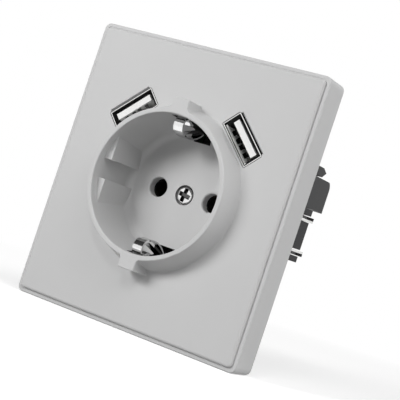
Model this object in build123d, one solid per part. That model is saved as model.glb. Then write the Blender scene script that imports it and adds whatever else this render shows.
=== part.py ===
from build123d import *
import os
from math import asin, atan2, cos, degrees, radians, sin, sqrt

# Flush wall socket with a round earthed well and two USB charging ports.
# Millimetres. The origin is the centre of the wall plane behind the plate:
# X to the right, Y into the wall, Z up, so the front of the socket looks along -Y.

# Plate frame
plate_width = 78.0
plate_height = 86.0
plate_depth = 10.0
plate_corner = 2.0
frame_wall = 2.0
frame_edge = 0.4
rim_strip = 1.0
shelf_thickness = 2.0
window_margin = 0.35
window_corner = 5.0

# Panel of the front cover
groove_width = 0.3
panel_seat_depth = 1.6
panel_raise = 1.0
panel_corner = 1.2
panel_edge = 0.9
skirt_wall = 1.2
skirt_length = 2.4
skirt_clearance = 0.25

# Plug well and its collar
well_depth = 18.9
well_rim_radius = 20.8
well_floor_radius = 19.9
well_floor_fillet = 2.5
floor_thickness = 3.0
collar_height = 7.0
collar_flare = 2.0
collar_foot_fillet = 0.5
rim_wall = 1.4
rim_edge = 0.35
cup_wall = 1.2
lug_width = 5.4
lug_height = 3.4
lug_root_fillet = 1.6
key_flat = 18.0
key_channel = 6.0
key_setback = 3.0
pin_spacing = 19.0
pin_hole_diameter = 6.0
pin_hole_chamfer = 0.3

# Screw in the middle of the well floor
cover_head_diameter = 5.4
cover_head_height = 1.6
cover_shank_diameter = 3.0
cover_screw_length = 12.0
screw_seat_depth = 1.5
screw_clearance = 0.1
head_clearance = 0.4
cross_width = 0.95
cross_angle = 55.0

# Earth strap and its curled clips
earth_thickness = 0.7
strap_width = 10.0
strap_half_length = 15.0
clip_width = 3.1
clip_reach = 15.7
clip_setback = 2.7
clip_clearance = 0.6
clip_side_clearance = 1.35
curl_clearance = 0.6
curl_front_clearance = 0.3
curl_radius = 2.9
curl_angle = 270.0
arm_reach = 20.9
bend_radius = 1.5
tail_width = 5.0
tail_drop = 13.0
tail_clearance = 0.2
tail_side_clearance = 0.3
lance_margin = 1.0
rivet_radius = 0.9
rivet_head_radius = 1.5
rivet_spacing = 6.0
rivet_height = 6.0
rivet_length = 4.5

# USB ports
port_angle = 46.0
port_gap = 1.8
port_window_length = 15.4
port_window_width = 6.6
port_window_corner = 0.6
port_window_bevel = 0.6
port_window_bevel_depth = 1.0
port_land = 0.5
port_facet_height = 3.0
port_recess = 0.1
mouth_length = 14.2
mouth_width = 5.4
mouth_depth = 1.0
throat_length = 12.5
throat_width = 5.12
shell_wall = 0.35
tongue_length = 12.0
tongue_thickness = 1.9
tongue_offset = 0.75
tongue_setback = 0.4
insulator_depth = 3.0
insulator_clearance = 0.05
contact_pitch_outer = 2.5
contact_pitch_inner = 2.0
contact_width = 1.0
contact_thickness = 0.3
contact_bow = 1.2
contact_start = 0.7
contact_bow_length = 3.4

# Circuit board and USB supply
board_gap = 0.5
board_thickness = 1.6
board_radius = 32.0
board_clearance = 0.2
tray_wall = 1.2
tray_floor = 1.6
supply_wall = 1.6
supply_depth = 35.3
supply_half_width = 27.0
supply_height = 10.0
supply_corner = 3.0
rail_gap = 0.6
rail_gap_depth = 4.0
rail_height = 2.9
rail_setback = 3.5
rail_inset = 1.2
rail_nose_length = 2.8
rail_nose_drop = 1.2
top_screw_notch = 5.0
transformer_width = 13.0
transformer_height = 9.0
transformer_length = 12.0
transformer_x = -12.0
winding_width = 8.0
winding_wall = 0.9
core_leg = 2.2
middle_leg = 3.52
bulk_capacitor_radius = 4.0
bulk_capacitor_length = 15.0
bulk_capacitor_x = 2.0
output_capacitor_radius = 3.15
output_capacitor_length = 9.0
output_capacitor_x = 10.0
output_capacitor_spacing = 7.2

# Steel support yoke
yoke_side_clearance = 1.5
yoke_end_clearance = 5.5
yoke_corner = 6.0
yoke_thickness = 1.0
yoke_opening_gap = 4.0
yoke_tongue_gap = 0.6
yoke_tongue_width = 13.0
box_screw_pitch = 60.0
box_screw_hole = 3.5
port_hole_margin = 1.2
yoke_screw_radius = 29.0
yoke_screw_angle = 45.0
yoke_screw_height = 10.9
yoke_screw_side = 30.0
yoke_shank_diameter = 2.4
yoke_head_diameter = 4.8
yoke_head_height = 1.4
yoke_screw_length = 7.0
boss_radius = 2.4
ear_width = 4.0

# Black contact base
base_depth = 28.3
base_radius = 25.0
base_top = 8.7
flange_thickness = 1.8
skirt_ring_wall = 2.5
skirt_seat = 0.5
skirt_cut_margin = 1.0
chamber_width = 7.4
chamber_height = 8.4
chamber_front_wall = 1.8
terminal_width = 9.0
terminal_top = 5.0
terminal_bottom = 18.0
contact_seat = 18.6
back_cover_thickness = 2.0
back_cover_rim = 1.4
back_cover_clearance = 0.2
back_screw_x = 16.8
back_screw_drop = 1.0
back_screw_length = 8.0

# Pin contacts and terminals
brass_thickness = 0.6
contact_leaf_width = 6.0
leaf_spacing = 6.0
pin_grip = 4.9
grip_setback = 4.5
mouth_spread = 6.8
mouth_setback = 1.5
leaf_bend = 0.8
tab_width = 6.8
tab_length = 17.0
tab_margin = 0.5
terminal_screw_drop = 13.0
earth_screw_drop = 18.0
earth_tab_length = 21.5
earth_bay_width = 8.4
earth_bay_bottom = 22.0
earth_bay_margin = 1.0
clamp_gap = 1.5
clamp_thickness = 1.5
clamp_width = 7.0
clamp_height = 8.0
terminal_shank_diameter = 3.2
terminal_head_diameter = 5.2
terminal_head_height = 2.2
terminal_screw_length = 6.0
tip_setback = 0.5
tip_clearance = 0.4
driver_hole = 5.0
wire_entry_width = 5.0
wire_entry_depth = 4.2

# Spreading claws
claw_thickness = 1.6
claw_inner_half_gap = 4.65
claw_slot_clearance = 0.25
claw_width = 4.7
claw_start = 0.8
claw_end = 35.6
claw_tooth = 1.2
claw_tooth_length = 2.8
claw_web_depth = 3.3
claw_slot_floor = 19.5
claw_shank_diameter = 3.0
claw_head_diameter = 5.5
claw_head_height = 2.0
claw_screw_length = 17.0
claw_head_gap = 0.75
claw_hole_clearance = 0.25
claw_bore_clearance = 0.5
claw_pocket_depth = 6.3
guide_half_height = 8.4

# Depths along Y, worked out from the front to the back
rim_y = -plate_depth
panel_y = rim_y - panel_raise
seat_y = rim_y + panel_seat_depth
shelf_rear_y = seat_y + shelf_thickness
collar_y = panel_y - collar_height
floor_y = collar_y + well_depth
cup_rear_y = floor_y + floor_thickness
base_y = cup_rear_y + earth_thickness
flange_rear_y = base_y + flange_thickness
base_rear_y = base_y + base_depth
board_y = base_y + board_gap
board_rear_y = board_y + board_thickness
tray_rear_y = board_rear_y + tray_floor
supply_rear_y = base_y + supply_depth
contact_seat_y = base_y + contact_seat
port_y = panel_y + port_recess
yoke_y = -yoke_thickness
web_y = base_y + claw_web_depth

# Distances from the socket's axis
pin_x = pin_spacing / 2
rim_radius = well_rim_radius + rim_wall
foot_radius = rim_radius + collar_flare
cup_radius = well_rim_radius + cup_wall
lug_radius = rim_radius + lug_height
curl_z = clip_reach + curl_radius
curl_y = collar_y + clip_setback + curl_radius
slot_half_width = clip_width / 2 + clip_side_clearance
port_radius = cup_radius + port_gap + port_window_width / 2
port_x = port_radius * cos(radians(port_angle))
port_z = port_radius * sin(radians(port_angle))
port_top = port_z + port_window_length / 2 * cos(radians(port_angle))
port_top += port_window_width / 2 * sin(radians(port_angle))
window_size = 2 * (port_top + window_margin + skirt_wall + skirt_clearance)
claw_x = cup_radius + claw_head_gap + claw_head_diameter / 2
flank_x = claw_x + claw_shank_diameter / 2
claw_outer_half_gap = claw_inner_half_gap + claw_thickness
yoke_opening_radius = cup_radius + yoke_opening_gap
skirt_radius = yoke_opening_radius + skirt_ring_wall + skirt_seat
supply_top = base_top + supply_height
rail_top = supply_top + rail_gap + rail_height
tray_radius = board_radius + board_clearance + tray_wall
tray_top = box_screw_pitch / 2 - box_screw_hole / 2
cavity_z = (base_top + rail_top) / 2
lower_screw_x = yoke_screw_radius * cos(radians(yoke_screw_angle))
lower_screw_z = -yoke_screw_radius * sin(radians(yoke_screw_angle))
yoke_shank_radius = yoke_shank_diameter / 2
yoke_hole_radius = yoke_shank_radius + screw_clearance
terminal_shank_radius = terminal_shank_diameter / 2
terminal_hole_radius = terminal_shank_radius + screw_clearance


def face_on(depth):
    """Sketch plane at a depth along Y, seen from the front: X right, Z up."""
    return Plane(origin=(0, depth, 0), x_dir=(1, 0, 0), z_dir=(0, -1, 0))


def slab(outline, front, rear):
    """Straight body of a front outline between two depths."""
    return extrude(face_on(rear) * outline, amount=rear - front)


def port_plane(depth):
    """The right port's plane at a depth: X along the port, Y away from the socket's axis."""
    along = (sin(radians(port_angle)), 0, -cos(radians(port_angle)))
    return Plane(origin=(port_x, depth, port_z), x_dir=along, z_dir=(0, -1, 0))


def port_slab(outline, front, rear):
    """As slab, in the right port's plane."""
    return extrude(port_plane(rear) * outline, amount=rear - front)


def post(x, z, radius, front, rear):
    """Round post or hole along Y."""
    return slab(Pos(x, z) * Circle(radius), front, rear)


def block(x_low, x_high, front, rear, z_low, z_high):
    """Box between six limits."""
    middle = Pos((x_low + x_high) / 2, (front + rear) / 2, (z_low + z_high) / 2)
    return middle * Box(x_high - x_low, rear - front, z_high - z_low)


def turned(points):
    """Solid turned about the socket's axis from (radius, depth) points."""
    return revolve(make_face(Polyline(*points, close=True)), axis=Axis.Y)


def both_sides(body):
    """The body and its mirror image, left and right."""
    return body + mirror(body, about=Plane.YZ)


def strip(path, thickness, width):
    """Sheet strip bent along a (depth, height) path, centred on X = 0."""
    return extrude(Plane.YZ * trace(path, thickness), amount=width / 2, both=True)


def cross_recess(x, z, front, reach, depth):
    """Cross-shaped driver recess cut into a screw head."""
    arms = Rectangle(cross_width, 2 * reach) + Rectangle(2 * reach, cross_width)
    return slab(Pos(x, z) * (Rot(0, 0, cross_angle) * arms), front, front + depth)


def domed_screw(x, z, front, head_radius, head_height, shank_radius, length):
    """Pan-head screw with its head's front at a depth, and a cross recess."""
    head = post(x, z, head_radius, front, front + head_height)
    head = fillet(head.faces().sort_by(Axis.Y)[0].edges(), head_height * 0.45)
    shank = post(x, z, shank_radius, front + head_height, front + head_height + length)
    recess = cross_recess(x, z, front, head_radius * 0.62, head_height * 0.7)
    return head + shank - recess


def slotted_rear_screw(x, z, rear, head_radius, head_height, shank_radius, length):
    """Cheese-head screw whose head faces the back, with a straight slot."""
    head = post(x, z, head_radius, rear - head_height, rear)
    shank = post(x, z, shank_radius, rear - head_height - length, rear - head_height)
    slot_half = head_radius * 0.16
    slot_floor = rear - head_height * 0.5
    slot = block(x - head_radius, x + head_radius, slot_floor, rear, z - slot_half, z + slot_half)
    return head + shank - slot


def make_outer_frame():
    outer = slab(RectangleRounded(plate_width, plate_height, plate_corner), rim_y, 0)
    outer = fillet(outer.faces().sort_by(Axis.Y)[0].edges(), frame_edge)
    seat_width = plate_width - 2 * rim_strip
    seat_height = plate_height - 2 * rim_strip
    seat = slab(RectangleRounded(seat_width, seat_height, panel_corner + groove_width), rim_y, seat_y)
    hollow_width = plate_width - 2 * frame_wall
    hollow_height = plate_height - 2 * frame_wall
    hollow = slab(RectangleRounded(hollow_width, hollow_height, panel_corner), shelf_rear_y, 0)
    window = slab(RectangleRounded(window_size, window_size, window_corner), seat_y, shelf_rear_y)
    return outer - seat - hollow - window


def make_panel():
    width = plate_width - 2 * (rim_strip + groove_width)
    height = plate_height - 2 * (rim_strip + groove_width)
    panel = slab(RectangleRounded(width, height, panel_corner), panel_y, seat_y)
    panel = fillet(panel.faces().sort_by(Axis.Y)[0].edges(), panel_edge)
    skirt_size = window_size - 2 * skirt_clearance
    inner_size = skirt_size - 2 * skirt_wall
    ring = RectangleRounded(skirt_size, skirt_size, window_corner - skirt_clearance)
    ring -= RectangleRounded(inner_size, inner_size, window_corner - skirt_wall)
    return panel + slab(ring, seat_y, seat_y + skirt_length)


def make_well_cavity():
    """Space that the plug takes: a drafted round well less the two pairs of keying pads."""
    points = [(0, collar_y), (well_rim_radius, collar_y), (well_floor_radius, floor_y), (0, floor_y)]
    outline = make_face(Polyline(*points, close=True))
    foot = outline.vertices().sort_by_distance((well_floor_radius, floor_y, 0))[0]
    cavity = revolve(fillet(foot, well_floor_fillet), axis=Axis.Y)
    pad_front = collar_y + key_setback
    for side in (-1, 1):
        pad_x = side * (key_flat + rim_radius) / 2
        for half in (-1, 1):
            pad_z = half * (key_channel / 2 + rim_radius) / 2
            outline = Pos(pad_x, pad_z) * Rectangle(rim_radius - key_flat, rim_radius - key_channel / 2)
            cavity -= slab(outline, pad_front, floor_y)
    return cavity


def make_clip_slot():
    """Slot for the upper earth clip: blind in the collar, open through the cup's wall and floor."""
    pocket_front = curl_y - curl_radius - curl_front_clearance
    pocket_top = curl_z + curl_radius + curl_clearance
    floor_edge = clip_reach + clip_clearance
    half = slot_half_width
    pocket = block(-half, half, pocket_front, seat_y, floor_edge, pocket_top)
    through = block(-half, half, seat_y, cup_rear_y, floor_edge, cup_radius)
    return pocket + through


def make_window_bevel():
    """Slope on the outer long side of the right port's window."""
    length = port_window_length - 2 * port_window_corner
    half = port_window_width / 2
    wide = half + port_window_bevel
    front = port_plane(panel_y) * Pos(0, wide / 2) * Rectangle(length, wide)
    rear = port_plane(panel_y + port_window_bevel_depth) * Pos(0, half / 2) * Rectangle(length, half)
    return loft([front, rear])


def make_front_cover():
    body = turned([
        (0, collar_y), (rim_radius, collar_y), (foot_radius, panel_y), (foot_radius, seat_y),
        (cup_radius, seat_y), (cup_radius, cup_rear_y), (0, cup_rear_y),
    ])
    lugs = Circle(rim_radius) + (Rectangle(lug_width, 2 * lug_radius) & Circle(lug_radius))
    roots = lugs.vertices().sort_by_distance((0, 0, 0))[:4]
    lugs = fillet(roots, lug_root_fillet) - Circle(well_rim_radius)
    body += slab(lugs, collar_y, seat_y)
    body += make_panel()
    foot = body.edges().filter_by_position(Axis.Y, panel_y, panel_y)
    foot = foot.filter_by(lambda edge: edge.center(CenterOf.BOUNDING_BOX).length < 2 * foot_radius)
    body = fillet(foot, collar_foot_fillet)
    body -= make_well_cavity()
    body = fillet(body.faces().sort_by(Axis.Y)[0].edges(), rim_edge)
    slot = make_clip_slot()
    body -= slot + mirror(slot, about=Plane.XY)
    land = Rectangle(port_window_length + 2 * port_land, port_window_width + 2 * port_land)
    body -= both_sides(port_slab(land, panel_y - port_facet_height, panel_y))
    window = RectangleRounded(port_window_length, port_window_width, port_window_corner)
    body -= both_sides(port_slab(window, panel_y, seat_y))
    body -= both_sides(make_window_bevel())
    hole_radius = pin_hole_diameter / 2
    hole = post(pin_x, 0, hole_radius, floor_y, cup_rear_y)
    body -= both_sides(hole)
    rims = body.edges().filter_by(GeomType.CIRCLE).filter_by_position(Axis.Y, floor_y, floor_y)
    rims = rims.filter_by(lambda e: abs(e.radius - hole_radius) < pin_hole_chamfer)
    body = chamfer(rims, pin_hole_chamfer)
    body -= post(0, 0, cover_head_diameter / 2 + head_clearance, floor_y, floor_y + screw_seat_depth)
    return body - post(0, 0, cover_shank_diameter / 2 + screw_clearance, floor_y, cup_rear_y)


def make_cover_screw():
    head_front = floor_y + screw_seat_depth - cover_head_height
    shank_radius = cover_shank_diameter / 2
    head_radius = cover_head_diameter / 2
    return domed_screw(0, 0, head_front, head_radius, cover_head_height, shank_radius, cover_screw_length)


def make_clip():
    """Upper spring clip of the earth strap, with the arm that carries it."""
    middle = earth_thickness / 2
    arm_y = cup_rear_y + middle
    mid_radius = curl_radius - middle
    to_curl_y = curl_y - arm_y
    to_curl_z = curl_z - arm_reach
    distance = sqrt(to_curl_y ** 2 + to_curl_z ** 2)
    run = sqrt(distance ** 2 - mid_radius ** 2)
    heading = atan2(to_curl_z, to_curl_y) + asin(mid_radius / distance)
    touch = (arm_y + run * cos(heading), arm_reach + run * sin(heading))
    start = degrees(atan2(touch[1] - curl_z, touch[0] - curl_y))
    path = FilletPolyline((arm_y, strap_half_length), (arm_y, arm_reach), touch, radius=bend_radius)
    path += CenterArc((curl_y, curl_z), mid_radius, start, -curl_angle)
    return strip(path, earth_thickness, clip_width)


def make_earth_strap():
    clip = make_clip()
    plate = slab(Rectangle(strap_width, 2 * strap_half_length), cup_rear_y, base_y)
    half_tail = tail_width / 2
    lanced_top = cover_shank_diameter + lance_margin
    window = block(-half_tail, half_tail, cup_rear_y, base_y, -tail_drop, -lanced_top)
    tail_y = cup_rear_y + earth_thickness / 2
    tab_y = contact_seat_y + earth_thickness / 2
    tail_z = -tail_drop - earth_thickness / 2
    path = Polyline((tail_y, tail_z), (tab_y, tail_z))
    tail = strip(path, earth_thickness, tail_width)
    tab_rear_y = contact_seat_y + earth_thickness
    half_tab = tab_width / 2
    tab = block(-half_tab, half_tab, contact_seat_y, tab_rear_y, -earth_tab_length, -tail_drop)
    body = plate - window + clip + mirror(clip, about=Plane.XY) + tail + tab
    body -= post(0, 0, cover_shank_diameter / 2 + screw_clearance, cup_rear_y, base_y)
    body -= post(0, -earth_screw_drop, terminal_hole_radius, contact_seat_y, tab_rear_y)
    return body - both_sides(post(rivet_spacing / 2, rivet_height, rivet_head_radius, cup_rear_y, base_y))


def make_strap_rivets():
    head = post(rivet_spacing / 2, rivet_height, rivet_head_radius, cup_rear_y, base_y)
    shank = post(rivet_spacing / 2, rivet_height, rivet_radius, base_y, base_y + rivet_length)
    return both_sides(head + shank)


def make_usb_shell():
    """Drawn steel shell of the right port, with a flared mouth."""
    mouth_rear = port_y + mouth_depth
    wall = 2 * shell_wall
    outer = port_slab(Rectangle(throat_length + wall, throat_width + wall), mouth_rear, board_y)
    inner = port_slab(Rectangle(throat_length, throat_width), mouth_rear, board_y)
    return outer - inner + make_flare(wall, mouth_rear) - make_flare(0, mouth_rear)


def make_flare(extra, mouth_rear):
    """Tapered mouth of the port shell, grown by an extra size."""
    along = (sin(radians(port_angle)), 0, -cos(radians(port_angle)))
    front = Plane(origin=(port_x, port_y, port_z), x_dir=along, z_dir=(0, -1, 0))
    rear = Plane(origin=(port_x, mouth_rear, port_z), x_dir=along, z_dir=(0, -1, 0))
    wide = front * Rectangle(mouth_length + extra, mouth_width + extra)
    narrow = rear * Rectangle(throat_length + extra, throat_width + extra)
    return loft([wide, narrow])


def contact_places():
    """Places of the four contacts along the port."""
    near = contact_pitch_inner / 2
    far = near + contact_pitch_outer
    return (-far, -near, near, far)


def make_usb_tongue():
    """White insulator of the right port: a block on the board and the tongue that it carries."""
    length = throat_length - 2 * insulator_clearance
    width = throat_width - 2 * insulator_clearance
    block_front = board_y - insulator_depth
    body = port_slab(Rectangle(length, width), block_front, board_y)
    tongue = Pos(0, tongue_offset) * Rectangle(tongue_length, tongue_thickness)
    body += port_slab(tongue, port_y + tongue_setback, block_front)
    face = tongue_offset - tongue_thickness / 2
    groove = contact_thickness + insulator_clearance
    for place in contact_places():
        outline = Pos(place, face - groove / 2) * Rectangle(contact_width + 2 * insulator_clearance, groove)
        body -= port_slab(outline, block_front, board_y)
    return body


def make_usb_contacts():
    """Four bowed contact springs on the tongue's inner face, modelled flat and set in the port's frame."""
    along = (sin(radians(port_angle)), 0, -cos(radians(port_angle)))
    frame = Plane(origin=(port_x, 0, port_z), x_dir=along, z_dir=(0, -1, 0))
    face = tongue_offset - tongue_thickness / 2 - contact_thickness / 2
    tip = port_y + tongue_setback + contact_start
    bow_end = tip + contact_bow_length
    bow_middle = (tip + bow_end) / 2
    contacts = []
    for place in contact_places():
        path = FilletPolyline(
            (-board_y, face), (-bow_end, face), (-bow_middle, face - contact_bow), (-tip, face),
            radius=leaf_bend,
        )
        side = Plane(origin=(place, 0, 0), x_dir=(0, 0, 1), z_dir=(-1, 0, 0))
        outline = side * trace(path, contact_thickness)
        contacts.append(frame * extrude(outline, amount=contact_width / 2, both=True))
    return Compound(children=contacts)


def tray_outline(inset, half_width):
    """Outline behind the upper plate: a disc cut flat at four sides, notched for the box screw."""
    radius = tray_radius - inset
    low = base_top + inset
    high = tray_top - inset
    outline = Circle(radius) & Pos(0, (low + high) / 2) * Rectangle(2 * half_width, high - low)
    notch_floor = rail_top + tray_wall - inset
    notch_width = 2 * (top_screw_notch + inset)
    return outline - Pos(0, (notch_floor + radius) / 2) * Rectangle(notch_width, radius - notch_floor)


def make_usb_board():
    half_width = yoke_screw_side - boss_radius - board_clearance
    return slab(tray_outline(tray_wall + board_clearance, half_width), board_y, board_rear_y)


def make_supply_housing():
    """Moulded housing of the USB supply: a tray for the board, and a stepped box with a nosed rail."""
    half = supply_half_width
    nose_y = supply_rear_y - rail_setback
    foot_y = nose_y - rail_nose_length
    step = supply_top + rail_gap / 2
    points = [
        (base_y, base_top), (supply_rear_y, base_top), (supply_rear_y, step), (foot_y, step),
        (nose_y, rail_top - rail_nose_drop), (foot_y, rail_top), (base_y, rail_top),
    ]
    outline = make_face(Polyline(*points, close=True))
    rounded = outline.vertices().sort_by_distance((supply_rear_y, step, 0))[0]
    body = extrude(Plane.YZ * fillet(rounded, supply_corner), amount=half, both=True)
    rail_side = block(half - rail_inset, half, base_y, supply_rear_y, supply_top + rail_gap, rail_top)
    groove = block(half - rail_gap_depth, half, base_y, supply_rear_y, supply_top, supply_top + rail_gap)
    body -= both_sides(rail_side + groove)
    body += slab(tray_outline(0, tray_radius), base_y, tray_rear_y)
    body += both_sides(post(yoke_screw_side, yoke_screw_height, boss_radius, 0, tray_rear_y))
    body -= slab(tray_outline(tray_wall, yoke_screw_side - boss_radius), base_y, board_rear_y)
    inner = half - rail_gap_depth - supply_wall
    floor = base_top + supply_wall
    body -= block(-inner, inner, base_y, foot_y - supply_wall, floor, rail_top - supply_wall)
    body -= block(-inner, inner, base_y, supply_rear_y - supply_wall, floor, supply_top - supply_wall)
    return body - both_sides(post(yoke_screw_side, yoke_screw_height, yoke_hole_radius, 0, tray_rear_y))


def make_transformer_winding():
    core_window = transformer_length - 2 * core_leg
    front = board_rear_y + core_leg
    outline = Pos(transformer_x, cavity_z) * Rectangle(winding_width, transformer_height)
    leg = Pos(transformer_x, cavity_z) * Rectangle(middle_leg, transformer_height - 4 * winding_wall)
    return slab(outline - leg, front, front + core_window)


def make_transformer_core():
    """Closed ferrite core whose middle leg passes through the winding."""
    half = transformer_width / 2
    deep = (transformer_height - 4 * winding_wall) / 2
    body = block(
        transformer_x - half, transformer_x + half, board_rear_y, board_rear_y + transformer_length,
        cavity_z - deep, cavity_z + deep,
    )
    window_outline = Rectangle(winding_width, 2 * deep) - Rectangle(middle_leg, 2 * deep)
    front = board_rear_y + core_leg
    rear = board_rear_y + transformer_length - core_leg
    return body - slab(Pos(transformer_x, cavity_z) * window_outline, front, rear)


def make_capacitor(x, radius, length):
    can = post(x, cavity_z, radius, board_rear_y, board_rear_y + length)
    return fillet(can.faces().sort_by(Axis.Y)[-1].edges(), radius * 0.15)


def make_output_capacitors():
    cans = []
    for step in range(2):
        x = output_capacitor_x + step * output_capacitor_spacing
        cans.append(make_capacitor(x, output_capacitor_radius, output_capacitor_length))
    return Compound(children=cans)


def yoke_screw_places():
    """Two screws into the supply housing and two into the base."""
    places = []
    for side in (-1, 1):
        places.append((side * yoke_screw_side, yoke_screw_height))
        places.append((side * lower_screw_x, lower_screw_z))
    return places


def make_support_yoke():
    width = plate_width - 2 * (frame_wall + yoke_side_clearance)
    height = plate_height - 2 * (frame_wall + yoke_end_clearance)
    outline = RectangleRounded(width, height, yoke_corner)
    opening = Circle(yoke_opening_radius)
    tongue_inner = cup_radius + yoke_tongue_gap
    tongue = Rectangle(2 * yoke_opening_radius, yoke_tongue_width)
    tongue -= Rectangle(2 * tongue_inner, yoke_tongue_width)
    body = slab(outline - (opening - tongue), yoke_y, 0)
    margin = 2 * port_hole_margin
    port_hole = Rectangle(port_window_length + margin, port_window_width + margin)
    body -= both_sides(port_slab(port_hole, yoke_y, 0))
    for z in (-box_screw_pitch / 2, box_screw_pitch / 2):
        body -= post(0, z, box_screw_hole / 2, yoke_y, 0)
    body -= both_sides(post(claw_x, 0, claw_shank_diameter / 2 + screw_clearance, yoke_y, 0))
    for x, z in yoke_screw_places():
        body -= post(x, z, yoke_hole_radius, yoke_y, 0)
    return body


def make_yoke_screws():
    front = yoke_y - yoke_head_height
    screws = []
    for x, z in yoke_screw_places():
        screws.append(domed_screw(
            x, z, front, yoke_head_diameter / 2, yoke_head_height, yoke_shank_radius, yoke_screw_length,
        ))
    return Compound(children=screws)


def make_contact_base():
    """Black base: contact chambers, terminal bays and the guides of the claws."""
    below_top = Pos(0, base_top - base_radius * 2) * Rectangle(base_radius * 4, base_radius * 4)
    body = slab(Circle(base_radius) & below_top, base_y, base_rear_y)
    body += slab(Rectangle(2 * flank_x, 2 * guide_half_height), base_y, base_rear_y)
    body += slab(Circle(skirt_radius) & below_top, base_y, flange_rear_y)
    ring = (Circle(skirt_radius) - Circle(skirt_radius - skirt_ring_wall)) & below_top
    body += slab(ring, 0, base_y)
    ear = Pos(yoke_screw_radius / 2, 0) * Rectangle(yoke_screw_radius, ear_width)
    body += both_sides(slab(Rot(0, 0, -yoke_screw_angle) * ear, base_y, flange_rear_y))
    boss_rear = yoke_screw_length + boss_radius
    body += both_sides(post(lower_screw_x, lower_screw_z, boss_radius, 0, boss_rear))
    body -= both_sides(post(lower_screw_x, lower_screw_z, yoke_hole_radius, 0, boss_rear))
    notch_top = -skirt_radius + skirt_ring_wall
    body -= block(-top_screw_notch, top_screw_notch, 0, flange_rear_y, -skirt_radius, notch_top)
    return body - both_sides(make_claw_space()) - both_sides(make_pin_chamber()) - make_earth_bay()


def make_claw_space():
    """Room for the right claw: two leg slots, a pocket for its web and a bore for its screw."""
    outside = skirt_radius + skirt_cut_margin
    slot_low = claw_inner_half_gap - claw_slot_clearance
    slot_high = claw_outer_half_gap + claw_slot_clearance
    space = block(claw_slot_floor, outside, 0, base_y + claw_pocket_depth, -slot_high, slot_high)
    for half in (-1, 1):
        low, high = sorted((half * slot_low, half * slot_high))
        space += block(claw_slot_floor, outside, base_y, base_rear_y, low, high)
    bore_rear = claw_screw_length + claw_head_height
    return space + post(claw_x, 0, claw_shank_diameter / 2 + claw_bore_clearance, base_y, bore_rear)


def make_pin_chamber():
    """Right contact chamber, its pin entry, terminal bay, wire entry and screw hole."""
    chamber_front = base_y + chamber_front_wall
    half_width = chamber_width / 2
    half_height = chamber_height / 2
    cover_front = base_rear_y - back_cover_thickness
    space = post(pin_x, 0, pin_hole_diameter / 2, base_y, chamber_front)
    left = pin_x - half_width
    right = pin_x + half_width
    space += block(left, right, chamber_front, contact_seat_y, -half_height, half_height)
    left = pin_x - terminal_width / 2
    right = pin_x + terminal_width / 2
    space += block(left, right, contact_seat_y, cover_front, -terminal_bottom, terminal_top)
    left = pin_x - wire_entry_width / 2
    right = pin_x + wire_entry_width / 2
    entry_front = contact_seat_y + brass_thickness
    entry_rear = entry_front + wire_entry_depth
    space += block(left, right, entry_front, entry_rear, -base_radius, -terminal_bottom)
    tip = contact_seat_y - terminal_screw_length
    space += post(pin_x, -terminal_screw_drop, terminal_shank_radius + tip_clearance, tip, contact_seat_y)
    screw_tip = cover_front - back_screw_length
    space += post(back_screw_x, -back_screw_drop, yoke_hole_radius, screw_tip, cover_front)
    outline = back_cover_outline(0) & Pos(base_radius, 0) * Rectangle(2 * base_radius, 4 * base_radius)
    return space + slab(outline, cover_front, base_rear_y)


def make_earth_bay():
    """Slot for the strap's tail, the earth terminal bay, and the holes in front."""
    half_tail = tail_width / 2 + tail_side_clearance
    tail_low = -tail_drop - earth_thickness - tail_clearance
    space = block(-half_tail, half_tail, base_y, contact_seat_y, tail_low, tail_clearance - tail_drop)
    half_bay = earth_bay_width / 2
    bay_top = earth_bay_margin - tail_drop
    cover_front = base_rear_y - back_cover_thickness
    space += block(-half_bay, half_bay, contact_seat_y, cover_front, -earth_bay_bottom, bay_top)
    half_entry = wire_entry_width / 2
    entry_front = contact_seat_y + earth_thickness
    entry_rear = entry_front + wire_entry_depth
    space += block(-half_entry, half_entry, entry_front, entry_rear, -base_radius, -earth_bay_bottom)
    tip = contact_seat_y - terminal_screw_length
    space += post(0, -earth_screw_drop, terminal_shank_radius + tip_clearance, tip, contact_seat_y)
    space += post(0, 0, cover_shank_diameter / 2 + tip_clearance, base_y, base_y + cover_screw_length)
    rivet_hole = post(rivet_spacing / 2, rivet_height, rivet_radius, base_y, base_y + rivet_length)
    return space + both_sides(rivet_hole)


def back_cover_outline(clearance):
    """Round cover flattened at the top and at the claw guides."""
    radius = base_radius - back_cover_rim - clearance
    half_width = claw_slot_floor - back_cover_rim - clearance
    top = base_top - back_cover_rim - clearance
    limits = Pos(0, (top - radius) / 2) * Rectangle(2 * half_width, top + radius)
    return Circle(radius) & limits


def make_back_cover():
    front = base_rear_y - back_cover_thickness
    body = slab(back_cover_outline(back_cover_clearance), front, base_rear_y)
    for x, z in terminal_places():
        body -= post(x, z, driver_hole / 2, front, base_rear_y)
    return body - both_sides(post(back_screw_x, -back_screw_drop, yoke_hole_radius, front, base_rear_y))


def make_back_cover_screws():
    rear = base_rear_y + yoke_head_height
    head_radius = yoke_head_diameter / 2
    return both_sides(slotted_rear_screw(
        back_screw_x, -back_screw_drop, rear,
        head_radius, yoke_head_height, yoke_shank_radius, back_screw_length,
    ))


def terminal_places():
    """Places of the line, neutral and earth terminal screws."""
    return ((-pin_x, -terminal_screw_drop), (pin_x, -terminal_screw_drop), (0, -earth_screw_drop))


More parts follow.
